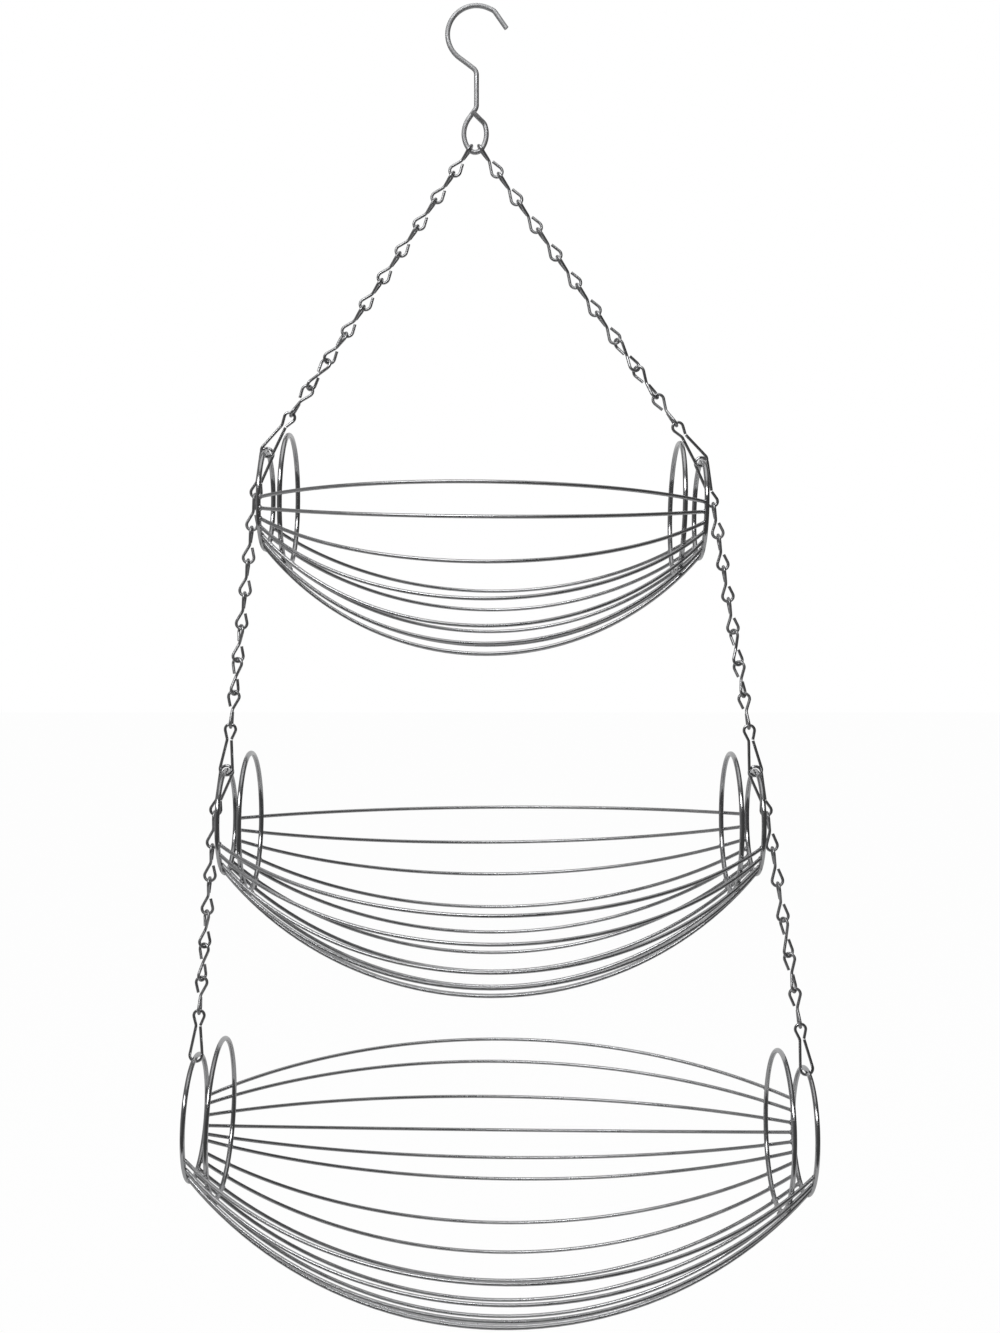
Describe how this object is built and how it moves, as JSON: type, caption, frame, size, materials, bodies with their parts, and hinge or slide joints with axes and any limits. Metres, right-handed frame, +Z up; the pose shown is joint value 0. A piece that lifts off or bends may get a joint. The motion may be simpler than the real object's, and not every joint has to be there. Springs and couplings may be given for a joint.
{
  "type": "hanging fruit basket",
  "caption": "Three tier hanging fruit basket of chromed wire: bowed wire bowls hung one under the other from a hook by jack chain strands and wire clips.",
  "frame": {"origin": "the seat under the top of the hook's crook, where a rod carries it", "axes": "+X along the baskets to the right, +Y from the front to the back, +Z up"},
  "size_m": [0.3827, 0.2161, 0.8019],
  "materials": {
    "chromed_wire": "bright plated"
  },
  "bodies": {
    "hook": {"hook": "chromed_wire"},
    "eye_links": {"eye_link_left": "chromed_wire", "eye_link_right": "chromed_wire"},
    "upper_strands": {"upper_chain_left": "chromed_wire", "upper_chain_right": "chromed_wire", "upper_clip_left": "chromed_wire", "upper_clip_right": "chromed_wire"},
    "top_basket": {"top_outer_ring_left": "chromed_wire", "top_inner_ring_left": "chromed_wire", "top_outer_ring_right": "chromed_wire", "top_inner_ring_right": "chromed_wire", "top_front_rim_wire": "chromed_wire", "top_front_wires": "chromed_wire", "top_bottom_wires": "chromed_wire", "top_back_wires": "chromed_wire", "top_back_rim_wire": "chromed_wire"},
    "middle_hanger_left": {"middle_hanger_clip_left": "chromed_wire"},
    "middle_strand_left": {"middle_chain_left": "chromed_wire"},
    "middle_hanger_right": {"middle_hanger_clip_right": "chromed_wire"},
    "middle_strand_right": {"middle_chain_right": "chromed_wire"},
    "middle_carrier": {"middle_ring_clip_left": "chromed_wire", "middle_ring_clip_right": "chromed_wire"},
    "middle_basket": {"middle_outer_ring_left": "chromed_wire", "middle_inner_ring_left": "chromed_wire", "middle_outer_ring_right": "chromed_wire", "middle_inner_ring_right": "chromed_wire", "middle_front_rim_wire": "chromed_wire", "middle_front_wires": "chromed_wire", "middle_bottom_wires": "chromed_wire", "middle_back_wires": "chromed_wire", "middle_back_rim_wire": "chromed_wire"},
    "bottom_hanger_left": {"bottom_hanger_clip_left": "chromed_wire"},
    "bottom_strand_left": {"bottom_chain_left": "chromed_wire"},
    "bottom_hanger_right": {"bottom_hanger_clip_right": "chromed_wire"},
    "bottom_strand_right": {"bottom_chain_right": "chromed_wire"},
    "bottom_carrier": {"bottom_ring_clip_left": "chromed_wire", "bottom_ring_clip_right": "chromed_wire"},
    "bottom_basket": {"bottom_outer_ring_left": "chromed_wire", "bottom_inner_ring_left": "chromed_wire", "bottom_outer_ring_right": "chromed_wire", "bottom_inner_ring_right": "chromed_wire", "bottom_front_rim_wire": "chromed_wire", "bottom_front_wires": "chromed_wire", "bottom_bottom_wires": "chromed_wire", "bottom_back_wires": "chromed_wire", "bottom_back_rim_wire": "chromed_wire"}
  },
  "joints": [
    {"name": "hanger_sideways_sway", "type": "hinge", "parent": "hook", "child": "eye_links", "pos_m": [-0.0008, 0, -0.0836], "axis": [0, 1, 0], "range_deg": [-12, 12]},
    {"name": "hanger_front_back_swing", "type": "hinge", "parent": "eye_links", "child": "upper_strands", "pos_m": [-0.00027, -0.00016, -0.10196], "axis": [0.9998, 0, -0.0208], "range_deg": [-12, 12]},
    {"name": "top_basket_roll", "type": "hinge", "parent": "upper_strands", "child": "top_basket", "pos_m": [0.0041, 0, -0.3045], "axis": [0.9998, 0, -0.021], "range_deg": [-28, 62]},
    {"name": "middle_left_swing", "type": "hinge", "parent": "upper_strands", "child": "middle_hanger_left", "pos_m": [-0.1283, 0.00175, -0.27216], "axis": [0.9998, 0, -0.021], "range_deg": [-15, 15]},
    {"name": "middle_right_swing", "type": "hinge", "parent": "upper_strands", "child": "middle_hanger_right", "pos_m": [0.13774, 0.00175, -0.27776], "axis": [0.9998, 0, -0.021], "range_deg": [-15, 15]},
    {"name": "middle_left_sway", "type": "hinge", "parent": "middle_hanger_left", "child": "middle_strand_left", "pos_m": [-0.13587, 0.00175, -0.29855], "axis": [0, 1, 0], "range_deg": [-5, 5]},
    {"name": "middle_right_sway", "type": "hinge", "parent": "middle_hanger_right", "child": "middle_strand_right", "pos_m": [0.14531, 0.00175, -0.30414], "axis": [0, 1, 0], "range_deg": [-5.19, 5.19]},
    {"name": "middle_basket_levelling", "type": "hinge", "parent": "middle_strand_left", "child": "middle_carrier", "pos_m": [-0.15026, -0.00118, -0.4396], "axis": [0, 1, 0], "range_deg": [-4.48, 4.48]},
    {"name": "middle_basket_roll", "type": "hinge", "parent": "middle_carrier", "child": "middle_basket", "pos_m": [0.0088, 0, -0.4984], "axis": [1, 0, -0.0015], "range_deg": [-56.5, 33.5]},
    {"name": "bottom_left_swing", "type": "hinge", "parent": "middle_carrier", "child": "bottom_hanger_left", "pos_m": [-0.15305, 0.00175, -0.4669], "axis": [1, 0, -0.0015], "range_deg": [-15, 15]},
    {"name": "bottom_right_swing", "type": "hinge", "parent": "middle_carrier", "child": "bottom_hanger_right", "pos_m": [0.17075, 0.00175, -0.4674], "axis": [1, 0, -0.0015], "range_deg": [-15, 15]},
    {"name": "bottom_left_sway", "type": "hinge", "parent": "bottom_hanger_left", "child": "bottom_strand_left", "pos_m": [-0.16062, 0.00175, -0.49329], "axis": [0, 1, 0], "range_deg": [-5, 5]},
    {"name": "bottom_right_sway", "type": "hinge", "parent": "bottom_hanger_right", "child": "bottom_strand_right", "pos_m": [0.17831, 0.00175, -0.49379], "axis": [0, 1, 0], "range_deg": [-5.01, 5.01]},
    {"name": "bottom_basket_levelling", "type": "hinge", "parent": "bottom_strand_left", "child": "bottom_carrier", "pos_m": [-0.16953, -0.00111, -0.61458], "axis": [0, 1, 0], "range_deg": [-4.68, 4.68]},
    {"name": "bottom_basket_roll", "type": "hinge", "parent": "bottom_carrier", "child": "bottom_basket", "pos_m": [0.0144, 0, -0.6833], "axis": [0.9998, 0, -0.0219], "range_deg": [-66, 24]}
  ],
  "couplings": [
    {"joint": "middle_right_swing", "follows": "middle_left_swing", "ratio": 1},
    {"joint": "middle_right_sway", "follows": "middle_left_sway", "ratio": 1.0367},
    {"joint": "middle_basket_levelling", "follows": "middle_left_sway", "ratio": -0.8851},
    {"joint": "bottom_right_swing", "follows": "bottom_left_swing", "ratio": 1},
    {"joint": "bottom_right_sway", "follows": "bottom_left_sway", "ratio": 0.9435},
    {"joint": "bottom_basket_levelling", "follows": "bottom_left_sway", "ratio": -0.9255}
  ]
}
